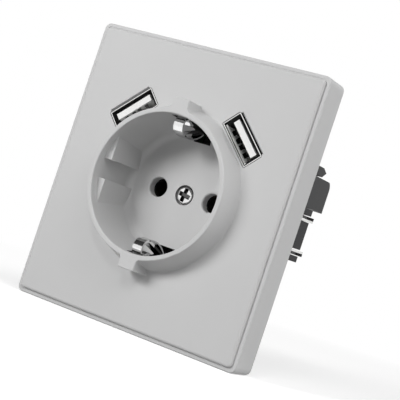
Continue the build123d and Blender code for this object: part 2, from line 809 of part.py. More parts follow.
def make_pin_contact(x):
    """Brass spring contact: two sprung leaves round the pin, and a terminal tab at the back."""
    bridge_y = contact_seat_y + brass_thickness / 2
    chamber_front = base_y + chamber_front_wall
    mouth_y = chamber_front + mouth_setback
    grip_y = chamber_front + grip_setback
    half_leaf = leaf_spacing / 2
    half_grip = (pin_grip + brass_thickness) / 2
    half_mouth = mouth_spread / 2
    relax_y = grip_y + grip_setback
    path = FilletPolyline(
        (mouth_y, half_mouth), (grip_y, half_grip), (relax_y, half_leaf), (bridge_y, half_leaf),
        (bridge_y, -half_leaf), (relax_y, -half_leaf), (grip_y, -half_grip), (mouth_y, -half_mouth),
        radius=leaf_bend,
    )
    body = strip(path, brass_thickness, contact_leaf_width)
    half_tab = tab_width / 2
    tab_rear = contact_seat_y + brass_thickness
    body += block(-half_tab, half_tab, contact_seat_y, tab_rear, -tab_length, terminal_top - tab_margin)
    body -= post(0, -terminal_screw_drop, terminal_hole_radius, contact_seat_y, tab_rear)
    return Pos(x, 0, 0) * body


def make_clamp(x, z, tab_thickness):
    """Wire clamp plate under a terminal screw's head."""
    front = contact_seat_y + tab_thickness + clamp_gap
    rear = front + clamp_thickness
    half = clamp_width / 2
    drop = clamp_height / 2
    body = block(x - half, x + half, front, rear, z - drop, z + drop)
    return body - post(x, z, terminal_hole_radius, front, rear)


def make_terminal_screws():
    screws = []
    for x, z in terminal_places():
        tab_thickness = earth_thickness if x == 0 else brass_thickness
        rear = contact_seat_y + tab_thickness + clamp_gap + clamp_thickness + terminal_head_height
        length = clamp_thickness + clamp_gap + tab_thickness + terminal_screw_length - tip_setback
        screws.append(slotted_rear_screw(
            x, z, rear, terminal_head_diameter / 2, terminal_head_height, terminal_shank_radius, length,
        ))
    return Compound(children=screws)


def make_claw():
    """Right claw: a bent steel U whose two pointed legs swing out against the wall box."""
    inner = flank_x - claw_width
    outer = claw_x + claw_head_diameter / 2
    shank = flank_x - claw_tooth
    start = base_y + claw_start
    neck = web_y + claw_thickness + claw_tooth
    leg_points = [
        (inner, start), (outer, start), (outer, web_y + claw_thickness), (shank, neck),
        (shank, claw_end - claw_tooth_length), (flank_x, claw_end), (flank_x - claw_width / 2, claw_end),
        (inner + claw_width / 4, claw_end - 2 * claw_tooth_length), (inner, neck),
    ]
    leg = extrude(make_face(Polyline(*leg_points, close=True)), amount=claw_thickness)
    upper = Pos(0, 0, claw_inner_half_gap) * leg
    half = claw_inner_half_gap
    web = block(inner, outer, web_y, web_y + claw_thickness, -half, half)
    hole_radius = claw_shank_diameter / 2 + claw_hole_clearance
    web -= post(claw_x, 0, hole_radius, web_y, web_y + claw_thickness)
    return upper + mirror(upper, about=Plane.XY) + web


def make_claw_screw():
    head_radius = claw_head_diameter / 2
    shank_radius = claw_shank_diameter / 2
    front = yoke_y - claw_head_height
    return domed_screw(claw_x, 0, front, head_radius, claw_head_height, shank_radius, claw_screw_length)


os.makedirs("parts", exist_ok=True)

nodes = {
    "outer_frame": make_outer_frame(),
    "front_cover": make_front_cover(),
    "cover_screw": make_cover_screw(),
    "earth_strap": make_earth_strap(),
    "strap_rivets": make_strap_rivets(),
    "support_yoke": make_support_yoke(),
    "yoke_screws": make_yoke_screws(),
    "contact_base": make_contact_base(),
    "back_cover": make_back_cover(),
    "back_cover_screws": make_back_cover_screws(),
    "line_contact": make_pin_contact(-pin_x),
    "neutral_contact": make_pin_contact(pin_x),
    "line_clamp": make_clamp(-pin_x, -terminal_screw_drop, brass_thickness),
    "neutral_clamp": make_clamp(pin_x, -terminal_screw_drop, brass_thickness),
    "earth_clamp": make_clamp(0, -earth_screw_drop, earth_thickness),
    "terminal_screws": make_terminal_screws(),
    "supply_housing": make_supply_housing(),
    "usb_board": make_usb_board(),
    "transformer_core": make_transformer_core(),
    "transformer_winding": make_transformer_winding(),
    "bulk_capacitor": make_capacitor(bulk_capacitor_x, bulk_capacitor_radius, bulk_capacitor_length),
    "output_capacitors": make_output_capacitors(),
}
right_hand = {
    "usb_shell": make_usb_shell(),
    "usb_tongue": make_usb_tongue(),
    "usb_contacts": make_usb_contacts(),
    "claw": make_claw(),
    "claw_screw": make_claw_screw(),
}
for name, body in right_hand.items():
    nodes[name + "_right"] = body
    nodes[name + "_left"] = mirror(body, about=Plane.YZ)

for name, body in nodes.items():
    export_step(body, "parts/" + name + ".step")
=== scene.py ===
from math import cos, radians, sin

import bpy
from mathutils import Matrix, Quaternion, Vector


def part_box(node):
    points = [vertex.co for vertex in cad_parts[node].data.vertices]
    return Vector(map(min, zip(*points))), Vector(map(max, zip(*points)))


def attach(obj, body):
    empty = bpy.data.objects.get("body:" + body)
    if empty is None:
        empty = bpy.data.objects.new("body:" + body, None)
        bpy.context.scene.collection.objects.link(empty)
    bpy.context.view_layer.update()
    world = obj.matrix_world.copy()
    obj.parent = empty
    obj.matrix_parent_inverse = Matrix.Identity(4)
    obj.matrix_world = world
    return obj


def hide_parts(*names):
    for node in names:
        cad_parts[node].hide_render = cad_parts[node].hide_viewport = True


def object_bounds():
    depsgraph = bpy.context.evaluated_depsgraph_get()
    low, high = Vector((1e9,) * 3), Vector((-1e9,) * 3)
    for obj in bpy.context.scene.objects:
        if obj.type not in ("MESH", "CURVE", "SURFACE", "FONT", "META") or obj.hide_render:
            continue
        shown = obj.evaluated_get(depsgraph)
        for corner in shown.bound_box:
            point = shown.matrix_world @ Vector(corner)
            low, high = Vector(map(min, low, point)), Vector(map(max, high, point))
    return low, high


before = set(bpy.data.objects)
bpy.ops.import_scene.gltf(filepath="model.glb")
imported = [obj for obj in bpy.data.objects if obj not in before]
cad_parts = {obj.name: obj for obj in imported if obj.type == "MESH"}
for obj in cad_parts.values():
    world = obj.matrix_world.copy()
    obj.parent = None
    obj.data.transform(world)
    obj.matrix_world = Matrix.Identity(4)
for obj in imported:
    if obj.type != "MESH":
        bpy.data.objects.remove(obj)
cad_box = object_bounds()
bpy.ops.object.select_all(action="DESELECT")

# Support yoke
# A punched plate of zinc-plated steel that lies on the wall behind the plastic plate.
# It is screwed to the wall box, and carries the base, the USB supply and the two claws.
mm = 0.001
noise_middle = 0.5


def feed(tree, socket, value):
    """Links another node's output to an input, or sets the input to a plain value."""
    if isinstance(value, bpy.types.NodeSocket):
        tree.links.new(value, socket)
    else:
        socket.default_value = value


def add_node(tree, kind, inputs=None, **settings):
    """A shader node with its settings made and its inputs fed."""
    node = tree.nodes.new(kind)
    for name, value in settings.items():
        setattr(node, name, value)
    for name, value in (inputs or {}).items():
        feed(tree, node.inputs[name], value)
    return node


def calculate(tree, operation, *values):
    """The number that a sum of other numbers gives."""
    return add_node(tree, "ShaderNodeMath", dict(enumerate(values)), operation=operation).outputs["Value"]


def ramp(tree, value, start, end):
    """A mark that is 0 where a value is at the start, and rises evenly to 1 where it is at the end."""
    limits = {"Value": value, "From Min": start, "From Max": end}
    return add_node(tree, "ShaderNodeMapRange", limits).outputs["Result"]


def noise(tree, place, scale, detail, roughness):
    """A pattern of noise round its middle level, with its scale counted to the metre."""
    settings = {"Vector": place, "Scale": scale, "Detail": detail, "Roughness": roughness}
    return add_node(tree, "ShaderNodeTexNoise", settings).outputs["Fac"]


def mix_colours(tree, factor, first, second, blend_type="MIX"):
    """The colour that two colours give together."""
    node = add_node(tree, "ShaderNodeMix", data_type="RGBA", blend_type=blend_type)
    shown = [socket for socket in node.inputs if socket.enabled]
    for socket, value in zip(shown, (factor, first, second)):
        feed(tree, socket, value)
    return next(socket for socket in node.outputs if socket.enabled)


def new_group(name, inputs, outputs):
    """An empty shader group with its named sockets, and its nodes for what goes in and comes out."""
    group = bpy.data.node_groups.new(name, "ShaderNodeTree")
    for socket, kind in inputs.items():
        group.interface.new_socket(socket, in_out="INPUT", socket_type="NodeSocket" + kind)
    for socket, kind in outputs.items():
        group.interface.new_socket(socket, in_out="OUTPUT", socket_type="NodeSocket" + kind)
    return group, group.nodes.new("NodeGroupInput").outputs, group.nodes.new("NodeGroupOutput").inputs


def make_plated_metal():
    """Group for rolled or turned metal under a plating: fine streaks, and patches that are less bright."""
    dull_start = 0.42
    dull_end = 0.75
    group, given, result = new_group(
        "plated_metal",
        {"Vector": "Vector", "Colour": "Color", "Shade": "Color", "Roughness": "Float", "Spread": "Float"},
        {"Colour": "Color", "Roughness": "Float", "Height": "Float"},
    )
    streaks = noise(group, given["Vector"], scale=2600.0, detail=3.0, roughness=0.6)
    patches = noise(group, given["Vector"], scale=260.0, detail=4.0, roughness=0.55)
    uneven = calculate(group, "SUBTRACT", streaks, noise_middle)
    rough = calculate(group, "MULTIPLY_ADD", uneven, given["Spread"], given["Roughness"])
    dull = ramp(group, patches, dull_start, dull_end)
    feed(group, result["Colour"], mix_colours(group, dull, given["Colour"], given["Shade"]))
    feed(group, result["Roughness"], rough)
    feed(group, result["Height"], streaks)
    return group


def make_sharp_edges():
    """Group that marks a piece's sharp edges, where plating shines and handling polishes plastic."""
    on_the_flat = 0.995
    on_the_edge = 0.85
    group, given, result = new_group("sharp_edges", {"Width": "Float"}, {"Edge": "Float"})
    rounded = add_node(group, "ShaderNodeBevel", {"Radius": given["Width"]}, samples=6)
    surface = add_node(group, "ShaderNodeNewGeometry")
    normals = {0: rounded.outputs["Normal"], 1: surface.outputs["Normal"]}
    alike = add_node(group, "ShaderNodeVectorMath", normals, operation="DOT_PRODUCT").outputs["Value"]
    feed(group, result["Edge"], ramp(group, alike, on_the_flat, on_the_edge))
    return group


def make_recess_shade():
    """Group that marks hollow places and narrow gaps, where a finish takes painted shade."""
    half_open = 0.65
    nearly_closed = 0.25
    group, given, result = new_group("recess_shade", {"Reach": "Float"}, {"Recess": "Float"})
    around = add_node(group, "ShaderNodeAmbientOcclusion", {"Distance": given["Reach"]}, samples=8)
    feed(group, result["Recess"], ramp(group, around.outputs["AO"], half_open, nearly_closed))
    return group


plated_metal = make_plated_metal()
sharp_edges = make_sharp_edges()
recess_shade = make_recess_shade()


def new_material(name):
    """A material, its tree, its main shader and its object coordinates."""
    material = bpy.data.materials.new(name)
    material.use_nodes = True
    tree = material.node_tree
    place = add_node(tree, "ShaderNodeTexCoord").outputs["Object"]
    return material, tree, tree.nodes["Principled BSDF"], place


def emboss(tree, shader, height, depth):
    """Relief of a surface, from a pattern and the depth that it has."""
    bump = add_node(tree, "ShaderNodeBump", {"Height": height, "Distance": depth})
    feed(tree, shader.inputs["Normal"], bump.outputs["Normal"])


def metal_finish(name, colour, shade, roughness, spread, stretch=(1, 1, 1)):
    """Plated or bare metal with drawn streaks, bright along its edges, and with painted shade in hollow
    places.
    """
    edge_width = 0.12 * mm
    shade_reach = 1.2 * mm
    painted_shade_share = 0.06
    streak_depth = 0.003 * mm
    material, tree, shader, place = new_material(name)
    drawn = add_node(tree, "ShaderNodeMapping", {"Vector": place, "Scale": stretch})
    metal = add_node(tree, "ShaderNodeGroup", {
        "Vector": drawn.outputs["Vector"], "Colour": (*colour, 1), "Shade": (*shade, 1),
        "Roughness": roughness, "Spread": spread,
    }, node_tree=plated_metal)
    edges = add_node(tree, "ShaderNodeGroup", {"Width": edge_width}, node_tree=sharp_edges)
    bright = mix_colours(tree, edges.outputs["Edge"], metal.outputs["Colour"], (*colour, 1))
    # Hollow places are painted near black as shade.
    recess_shade_mark = add_node(tree, "ShaderNodeGroup", {"Reach": shade_reach}, node_tree=recess_shade)
    painted_shade_tone = (*(painted_shade_share * level for level in colour), 1)
    feed(tree, shader.inputs["Base Color"], mix_colours(tree, recess_shade_mark.outputs["Recess"], bright, painted_shade_tone))
    feed(tree, shader.inputs["Roughness"], metal.outputs["Roughness"])
    feed(tree, shader.inputs["Metallic"], 1.0)
    emboss(tree, shader, metal.outputs["Height"], streak_depth)
    return material


def dress(material, *names):
    """Gives CAD nodes a finish in place of the plain one that they came with."""
    for name in names:
        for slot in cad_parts[name].material_slots:
            slot.material = material


zinc_plate = metal_finish(
    "zinc_plate", colour=(0.62, 0.63, 0.64), shade=(0.46, 0.47, 0.49),
    roughness=0.34, spread=0.18, stretch=(1, 1, 0.12),
)
dress(zinc_plate, "support_yoke")

# Screws of the yoke
# Four self-tapping pan-head screws of nickel-plated steel with a cross recess. The upper two hold the
# USB supply to the yoke. The lower two hold the base, on slanted lines through the plate's middle.
merge_distance = 1e-6
smooth_angle = radians(35)
to_front = -1


def select_parts(piece, kind, test):
    """Leaves a piece in edit mode with only the vertices, edges or faces selected that pass a test."""
    bpy.ops.object.select_all(action="DESELECT")
    piece.select_set(True)
    bpy.context.view_layer.objects.active = piece
    bpy.ops.object.mode_set(mode="EDIT")
    bpy.ops.mesh.select_mode(type=kind)
    bpy.ops.mesh.select_all(action="DESELECT")
    bpy.ops.object.mode_set(mode="OBJECT")
    mesh = piece.data
    for part in {"VERT": mesh.vertices, "EDGE": mesh.edges, "FACE": mesh.polygons}[kind]:
        part.select = test(part)
    bpy.ops.object.mode_set(mode="EDIT")


def apply_modifier(piece, kind, **settings):
    """Adds a modifier to a piece with its settings, and applies it."""
    bpy.context.view_layer.objects.active = piece
    modifier = piece.modifiers.new(kind.lower(), kind)
    for name, value in settings.items():
        setattr(modifier, name, value)
    bpy.ops.object.modifier_apply(modifier=modifier.name)


def make_thread(radius, pitch, length, into_head):
    """Threaded shank along Z below the head's seat, with its crests at the radius."""
    thread_depth = 0.6 * pitch
    root = radius - thread_depth
    crest_start = 0.42
    crest_end = 0.58
    profile = [(root, 0.0), (radius, crest_start), (radius, crest_end), (root, 1.0)]
    round_the_plane = [0, 1, 3, 2]
    turns = round((length + into_head) / pitch) - 1
    bpy.ops.mesh.primitive_plane_add(size=pitch)
    shank = bpy.context.object
    select_parts(shank, "FACE", lambda face: True)
    bpy.ops.mesh.delete(type="ONLY_FACE")
    bpy.ops.object.mode_set(mode="OBJECT")
    for index, (across, rise) in zip(round_the_plane, profile):
        shank.data.vertices[index].co = (across, 0, rise * pitch - length)
    closing = {round_the_plane[0], round_the_plane[-1]}
    select_parts(shank, "EDGE", lambda edge: set(edge.vertices) == closing)
    bpy.ops.mesh.delete(type="EDGE")
    bpy.ops.object.mode_set(mode="OBJECT")
    apply_modifier(
        shank, "SCREW", axis="Z", screw_offset=pitch, iterations=turns, steps=20, render_steps=20,
        use_merge_vertices=True, merge_threshold=merge_distance,
    )
    select_parts(shank, "VERT", lambda vertex: True)
    bpy.ops.mesh.remove_doubles(threshold=merge_distance)
    bpy.ops.mesh.fill_holes(sides=0)
    bpy.ops.mesh.select_all(action="SELECT")
    bpy.ops.mesh.normals_make_consistent(inside=False)
    bpy.ops.object.mode_set(mode="OBJECT")
    return shank


def cut_recess(head, cutter):
    """Cuts a driver's recess into a screw head, and takes the cutter away."""
    apply_modifier(head, "BOOLEAN", object=cutter, operation="DIFFERENCE", solver="EXACT")
    bpy.data.objects.remove(cutter)


def cross_cutter(head_height, reach, arm, depth):
    """Cross with arms that taper to its floor, standing in the top of a screw head."""
    floor_share = 0.5
    upright = 0.5
    floor = head_height - depth
    bpy.ops.mesh.primitive_cube_add(size=1, location=(0, 0, head_height), scale=(arm, arm, 2 * depth))
    cutter = bpy.context.object
    bpy.ops.object.transform_apply(location=True, rotation=True, scale=True)
    select_parts(cutter, "FACE", lambda face: abs(face.normal.z) < upright)
    bpy.ops.mesh.extrude_faces_move(TRANSFORM_OT_shrink_fatten={"value": reach - arm / 2})
    bpy.ops.object.mode_set(mode="OBJECT")
    select_parts(cutter, "VERT", lambda vertex: vertex.co.z < head_height)
    bpy.ops.transform.resize(value=(floor_share, floor_share, 1), center_override=(0, 0, floor))
    bpy.ops.object.mode_set(mode="OBJECT")
    return cutter


def make_screw(head_radius, head_height, dome, cutter, shank_radius, pitch, length):
    """Screw along Z with its head's seat at the origin: a turned head with its recess, and a thread."""
    into_head = 0.3 * head_height
    bpy.ops.object.select_all(action="DESELECT")
    bpy.ops.mesh.primitive_cylinder_add(
        vertices=48, radius=head_radius, depth=head_height, location=(0, 0, head_height / 2),
    )
    head = bpy.context.object
    bpy.ops.object.transform_apply(location=True, rotation=True, scale=True)
    select_parts(head, "VERT", lambda vertex: vertex.co.z > head_height / 2)
    bpy.ops.mesh.bevel(offset=dome, segments=5, profile=0.5, affect="EDGES")
    bpy.ops.object.mode_set(mode="OBJECT")
    cut_recess(head, cutter)
    shank = make_thread(shank_radius, pitch, length, into_head)
    bpy.ops.object.select_all(action="DESELECT")
    shank.select_set(True)
    head.select_set(True)
    bpy.context.view_layer.objects.active = head
    bpy.ops.object.join()
    bpy.ops.object.shade_smooth_by_angle(angle=smooth_angle)
    return head


def seat_screws(name, screw, places, facing, turn):
    """Copies of a screw with their heads' seats at places, turned about their axes, as one piece."""
    stand = Quaternion((1, 0, 0), -facing * radians(90))
    copies = []
    for place in places:
        copy = screw.copy()
        copy.data = screw.data.copy()
        bpy.context.collection.objects.link(copy)
        copy.rotation_mode = "QUATERNION"
        copy.rotation_quaternion = stand @ Quaternion((0, 0, 1), radians(turn))
        copy.location = place
        copies.append(copy)
    bpy.data.objects.remove(screw)
    bpy.ops.object.select_all(action="DESELECT")
    for copy in copies:
        copy.select_set(True)
    piece = copies[0]
    bpy.context.view_layer.objects.active = piece
    bpy.ops.object.transform_apply(location=True, rotation=True, scale=True)
    if len(copies) > 1:
        bpy.ops.object.join()
    piece.name = name
    return piece


def fit_piece(piece, material, body, node):
    """Gives a new piece its finish and its body, and lets it stand for its CAD node."""
    piece.data.materials.clear()
    piece.data.materials.append(material)
    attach(piece, body)
    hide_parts(node)


nickel = metal_finish(
    "nickel_plated_screw", colour=(0.72, 0.72, 0.71), shade=(0.55, 0.55, 0.55), roughness=0.22, spread=0.12,
)
yoke_head_radius = 2.4 * mm
yoke_head_height = 1.4 * mm
yoke_shank_radius = 1.2 * mm
yoke_pitch = 0.9 * mm
low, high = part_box("yoke_screws")
yoke_seat = low.y + yoke_head_height
upper_x = high.x - yoke_head_radius
upper_z = high.z - yoke_head_radius
lower = -(low.z + yoke_head_radius)
yoke_places = [
    (upper_x, yoke_seat, upper_z), (-upper_x, yoke_seat, upper_z),
    (lower, yoke_seat, -lower), (-lower, yoke_seat, -lower),
]
screw = make_screw(
    yoke_head_radius, yoke_head_height, dome=0.6 * mm,
    cutter=cross_cutter(yoke_head_height, reach=1.5 * mm, arm=0.7 * mm, depth=0.95 * mm),
    shank_radius=yoke_shank_radius, pitch=yoke_pitch, length=high.y - yoke_seat,
)
yoke_screws = seat_screws("yoke_screws_threaded", screw, yoke_places, to_front, turn=20)
fit_piece(yoke_screws, nickel, "socket", "yoke_screws")

# Contact base and its back cover
# A black base moulded in glass-filled plastic, with the chambers of the contacts, the terminal bays
# and the guides of the claws. A flat cover of the same plastic closes it behind.


def make_moulded_skin():
    """Group for moulded plastic: a fine spark-eroded grain, and broad clouds where the melt flowed."""
    gloss_spread = 0.12
    group, given, result = new_group(
        "moulded_skin",
        {"Vector": "Vector", "Colour": "Color", "Clouds": "Float", "Roughness": "Float", "Grain": "Float"},
        {"Colour": "Color", "Roughness": "Float", "Height": "Float"},
    )
    grain = noise(group, given["Vector"], scale=given["Grain"], detail=2.0, roughness=0.5)
    clouds = noise(group, given["Vector"], scale=70.0, detail=4.0, roughness=0.5)
    uneven = calculate(group, "SUBTRACT", clouds, noise_middle)
    level = calculate(group, "MULTIPLY_ADD", uneven, given["Clouds"], 1.0)
    rough = calculate(group, "MULTIPLY_ADD", uneven, gloss_spread, given["Roughness"])
    feed(group, result["Colour"], mix_colours(group, 1.0, given["Colour"], level, "MULTIPLY"))
    feed(group, result["Roughness"], rough)
    feed(group, result["Height"], grain)
    return group


moulded_skin = make_moulded_skin()


def plastic_finish(name, colour, edge_colour, roughness, clouds, grain_size, depth, gloss=0.5):
    """Moulded plastic with a fine grain, and a tone of its own along its edges."""
    edge_width = 0.2 * mm
    material, tree, shader, place = new_material(name)
    skin = add_node(tree, "ShaderNodeGroup", {
        "Vector": place, "Colour": (*colour, 1), "Clouds": clouds, "Roughness": roughness,
        "Grain": 1 / grain_size,
    }, node_tree=moulded_skin)
    edges = add_node(tree, "ShaderNodeGroup", {"Width": edge_width}, node_tree=sharp_edges)
    tone = mix_colours(tree, edges.outputs["Edge"], skin.outputs["Colour"], (*edge_colour, 1))
    feed(tree, shader.inputs["Base Color"], tone)
    feed(tree, shader.inputs["Roughness"], skin.outputs["Roughness"])
    feed(tree, shader.inputs["Specular IOR Level"], gloss)
    emboss(tree, shader, skin.outputs["Height"], depth)
    return material


black_plastic = plastic_finish(
    "black_glass_filled_plastic", colour=(0.012, 0.012, 0.013), edge_colour=(0.03, 0.03, 0.031),
    roughness=0.48, clouds=0.5, grain_size=0.25 * mm, depth=0.012 * mm, gloss=0.2,
)
dress(black_plastic, "contact_base", "back_cover")

# Pin contacts, clamps and rivets
# Each contact is one strip of brass folded round the pin's path, with a tab for the terminal behind.
# Steel clamp plates press the wires on the tabs, and two brass rivets hold the earth strap.
brass = metal_finish(
    "spring_brass", colour=(0.78, 0.58, 0.29), shade=(0.56, 0.38, 0.17),
    roughness=0.3, spread=0.16, stretch=(0.2, 1, 1),
)
clamp_zinc = metal_finish(
    "zinc_clamp", colour=(0.66, 0.66, 0.64), shade=(0.5, 0.5, 0.47),
    roughness=0.3, spread=0.16, stretch=(0.2, 1, 1),
)
dress(brass, "line_contact", "neutral_contact", "strap_rivets")
dress(clamp_zinc, "line_clamp", "neutral_clamp", "earth_clamp")

# Terminal screws
# Three slotted cheese-head screws of nickel-plated steel, one behind each wire clamp. They are turned
# from the back of the socket, through round holes in the back cover.
terminal_head_radius = 2.6 * mm
terminal_head_height = 2.2 * mm
to_back = 1


def slot_cutter(head_height, head_radius, width, depth):
    """Straight slot right across the top of a screw head, a little narrower at its floor."""
    slot_length = 2.4 * head_radius
    floor_share = 0.9
    bpy.ops.mesh.primitive_cube_add(
        size=1, location=(0, 0, head_height), scale=(slot_length, width, 2 * depth),
    )
    cutter = bpy.context.object
    bpy.ops.object.transform_apply(location=True, rotation=True, scale=True)
    select_parts(cutter, "VERT", lambda vertex: vertex.co.z < head_height)
    bpy.ops.transform.resize(value=(1, floor_share, 1), center_override=(0, 0, head_height - depth))
    bpy.ops.object.mode_set(mode="OBJECT")
    return cutter


terminal_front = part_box("terminal_screws")[0].y
terminal_places = []
for clamp in ("line_clamp", "neutral_clamp", "earth_clamp"):
    low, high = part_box(clamp)
    middle = (low + high) / 2
    terminal_places.append((middle.x, high.y, middle.z))
screw = make_screw(
    terminal_head_radius, terminal_head_height, dome=0.25 * mm,
    cutter=slot_cutter(terminal_head_height, terminal_head_radius, width=0.8 * mm, depth=1.1 * mm),
    shank_radius=1.6 * mm, pitch=0.6 * mm, length=terminal_places[0][1] - terminal_front,
)
terminal_screws = seat_screws("terminal_screws_threaded", screw, terminal_places, to_back, turn=25)
fit_piece(terminal_screws, nickel, "socket", "terminal_screws")

# Screws of the back cover
# Two slotted screws of nickel-plated steel that hold the back cover in its rebate in the base. Their
# heads and shanks are as large as those of the yoke's screws, with a slot in place of the cross.
low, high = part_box("back_cover_screws")
back_seat = high.y - yoke_head_height
back_x = high.x - yoke_head_radius
back_z = (low.z + high.z) / 2
screw = make_screw(
    yoke_head_radius, yoke_head_height, dome=0.25 * mm,
    cutter=slot_cutter(yoke_head_height, yoke_head_radius, width=0.75 * mm, depth=0.7 * mm),
    shank_radius=yoke_shank_radius, pitch=yoke_pitch, length=back_seat - low.y,
)
back_places = [(back_x, back_seat, back_z), (-back_x, back_seat, back_z)]
back_cover_screws = seat_screws("back_cover_screws_threaded", screw, back_places, to_back, turn=12)
fit_piece(back_cover_screws, nickel, "socket", "back_cover_screws")

# USB supply
# A black moulded housing with the circuit board across its mouth. The transformer and the three
# capacitors stand on the board's rear, inside the housing.
housing_black = plastic_finish(
    "satin_black_housing", colour=(0.02, 0.02, 0.021), edge_colour=(0.04, 0.04, 0.041),
    roughness=0.48, clouds=0.4, grain_size=0.2 * mm, depth=0.01 * mm, gloss=0.3,
)
dress(housing_black, "supply_housing")


def board_finish():
    """Glass-cloth laminate under dark green lacquer, with the weave just showing."""
    weave_size = 0.5 * mm
    weave_depth = 0.01 * mm
    wave_stretch = 6.0
    wander = 0.4
    thick_lacquer = (0.004, 0.02, 0.009, 1)
    thin_lacquer = (0.006, 0.03, 0.013, 1)
    lacquer_roughness = 0.3
    material, tree, shader, place = new_material("board_laminate")
    threads = {"Vector": place, "Scale": 1 / (wave_stretch * weave_size), "Distortion": wander}
    warp = add_node(tree, "ShaderNodeTexWave", threads, bands_direction="X").outputs["Fac"]
    weft = add_node(tree, "ShaderNodeTexWave", threads, bands_direction="Z").outputs["Fac"]
    cloth = calculate(tree, "MULTIPLY", warp, weft)
    feed(tree, shader.inputs["Base Color"], mix_colours(tree, cloth, thick_lacquer, thin_lacquer))
    feed(tree, shader.inputs["Roughness"], lacquer_roughness)
    emboss(tree, shader, cloth, weave_depth)
    return material


def winding_finish():
    """Turns of enamelled wire under amber tape."""
    wire_size = 0.3 * mm
    wire_relief = 0.05 * mm
    wave_stretch = 6.3
    wander = 0.3
    between_turns = (0.38, 0.17, 0.03, 1)
    on_turns = (0.62, 0.33, 0.06, 1)
    tape_roughness = 0.35
    material, tree, shader, place = new_material("taped_winding")
    wires = {"Vector": place, "Scale": 1 / (wave_stretch * wire_size), "Distortion": wander}
    turns = add_node(tree, "ShaderNodeTexWave", wires, bands_direction="Y").outputs["Fac"]
    feed(tree, shader.inputs["Base Color"], mix_colours(tree, turns, between_turns, on_turns))
    feed(tree, shader.inputs["Roughness"], tape_roughness)
    emboss(tree, shader, turns, wire_relief)
    return material


ferrite = plastic_finish(
    "ferrite", colour=(0.06, 0.058, 0.055), edge_colour=(0.1, 0.097, 0.09),
    roughness=0.6, clouds=0.7, grain_size=0.12 * mm, depth=0.02 * mm,
)
sleeve = plastic_finish(
    "capacitor_sleeve", colour=(0.03, 0.04, 0.075), edge_colour=(0.05, 0.06, 0.1),
    roughness=0.3, clouds=0.3, grain_size=0.4 * mm, depth=0.004 * mm,
)
dress(board_finish(), "usb_board")
dress(winding_finish(), "transformer_winding")
dress(ferrite, "transformer_core")
dress(sleeve, "bulk_capacitor", "output_capacitors")

# USB ports
# Each port is a drawn shell of nickel-plated steel with a flared lip, round a white nylon tongue that
# carries four contact springs. The shell and the tongue stand on the circuit board.
port_angle = 46.0
mouth_length = 14.2 * mm
mouth_width = 5.4 * mm


def mirrored_place(tree, place):
    """Object coordinates folded about the plate's middle, so that both sides read as the right one."""
    parts = add_node(tree, "ShaderNodeSeparateXYZ", {"Vector": place}).outputs
    across = calculate(tree, "ABSOLUTE", parts["X"])
    return across, parts["Y"], parts["Z"]


def shell_finish():
    """Nickel shell: bright lip, a satin wall with painted reflections of contacts, and painted shade inside.
    """
    painted_shade_black = (0.006, 0.006, 0.006, 1)
    wall_satin = (0.92, 0.92, 0.91, 1)
    lip_bright = (0.9, 0.9, 0.89, 1)
    wall_roughness = 0.6
    lip_roughness = 0.2
    wall_gloss = 0.2
    lip_depth = 0.08 * mm
    lip_start = 0.12 * mm
    flare_depth = 0.45 * mm
    wall_offset = -2.2 * mm
    contact_pair_offset = 2.475 * mm
    contact_pair_pitch = 2.75 * mm
    reflection_stripe_width = 1.6 * mm
    reflection_stripe_start = 2.6 * mm
    reflection_stripe_slant = 0.42
    reflection_stripe_shift = 0.7 * mm
    lean = radians(port_angle)
    low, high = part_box("usb_shell_right")
    centre = (low + high) / 2
    material, tree, shader, place = new_material("nickel_shell")
    x, y, z = mirrored_place(tree, place)

    from_x = calculate(tree, "SUBTRACT", x, centre.x)
    from_z = calculate(tree, "SUBTRACT", z, centre.z)
    rise_out = calculate(tree, "MULTIPLY", from_z, sin(lean))
    outward = calculate(tree, "MULTIPLY_ADD", from_x, cos(lean), rise_out)
    rise_along = calculate(tree, "MULTIPLY", from_z, -cos(lean))
    along = calculate(tree, "MULTIPLY_ADD", from_x, sin(lean), rise_along)
    depth = calculate(tree, "SUBTRACT", y, low.y)

    past_side = calculate(tree, "SUBTRACT", calculate(tree, "ABSOLUTE", outward), mouth_width / 2)
    past_end = calculate(tree, "SUBTRACT", calculate(tree, "ABSOLUTE", along), mouth_length / 2)
    on_rim = calculate(tree, "GREATER_THAN", calculate(tree, "MAXIMUM", past_side, past_end), lip_start)
    on_lip = calculate(tree, "MULTIPLY", on_rim, calculate(tree, "LESS_THAN", depth, lip_depth))
    in_throat = calculate(tree, "GREATER_THAN", depth, flare_depth)
    on_wall = calculate(tree, "MULTIPLY", in_throat, calculate(tree, "LESS_THAN", outward, wall_offset))

    # Four dark stripes on the satin wall are painted reflections of the tongue's contacts, slanting with
    # depth.
    shifted = calculate(tree, "SUBTRACT", along, reflection_stripe_shift)
    on_slant = calculate(tree, "MULTIPLY_ADD", depth, reflection_stripe_slant, shifted)
    from_pair = calculate(tree, "SUBTRACT", calculate(tree, "ABSOLUTE", on_slant), contact_pair_offset)
    from_line = calculate(tree, "SUBTRACT", calculate(tree, "ABSOLUTE", from_pair), contact_pair_pitch / 2)
    off_line = calculate(tree, "ABSOLUTE", from_line)
    beside_reflection_stripe = calculate(tree, "GREATER_THAN", off_line, reflection_stripe_width / 2)
    before_reflection_stripe = calculate(tree, "LESS_THAN", depth, reflection_stripe_start)
    off_reflection_stripe = calculate(tree, "MAXIMUM", beside_reflection_stripe, before_reflection_stripe)
    on_plain_wall = calculate(tree, "MULTIPLY", on_wall, off_reflection_stripe)

    # All the inside but the plain wall and its stripes is painted black as shade.
    inside = mix_colours(tree, on_plain_wall, painted_shade_black, wall_satin)
    rough = calculate(tree, "MULTIPLY_ADD", on_lip, lip_roughness - wall_roughness, wall_roughness)
    feed(tree, shader.inputs["Base Color"], mix_colours(tree, on_lip, inside, lip_bright))
    feed(tree, shader.inputs["Metallic"], on_lip)
    feed(tree, shader.inputs["Roughness"], rough)
    feed(tree, shader.inputs["Specular IOR Level"], wall_gloss)
    return material


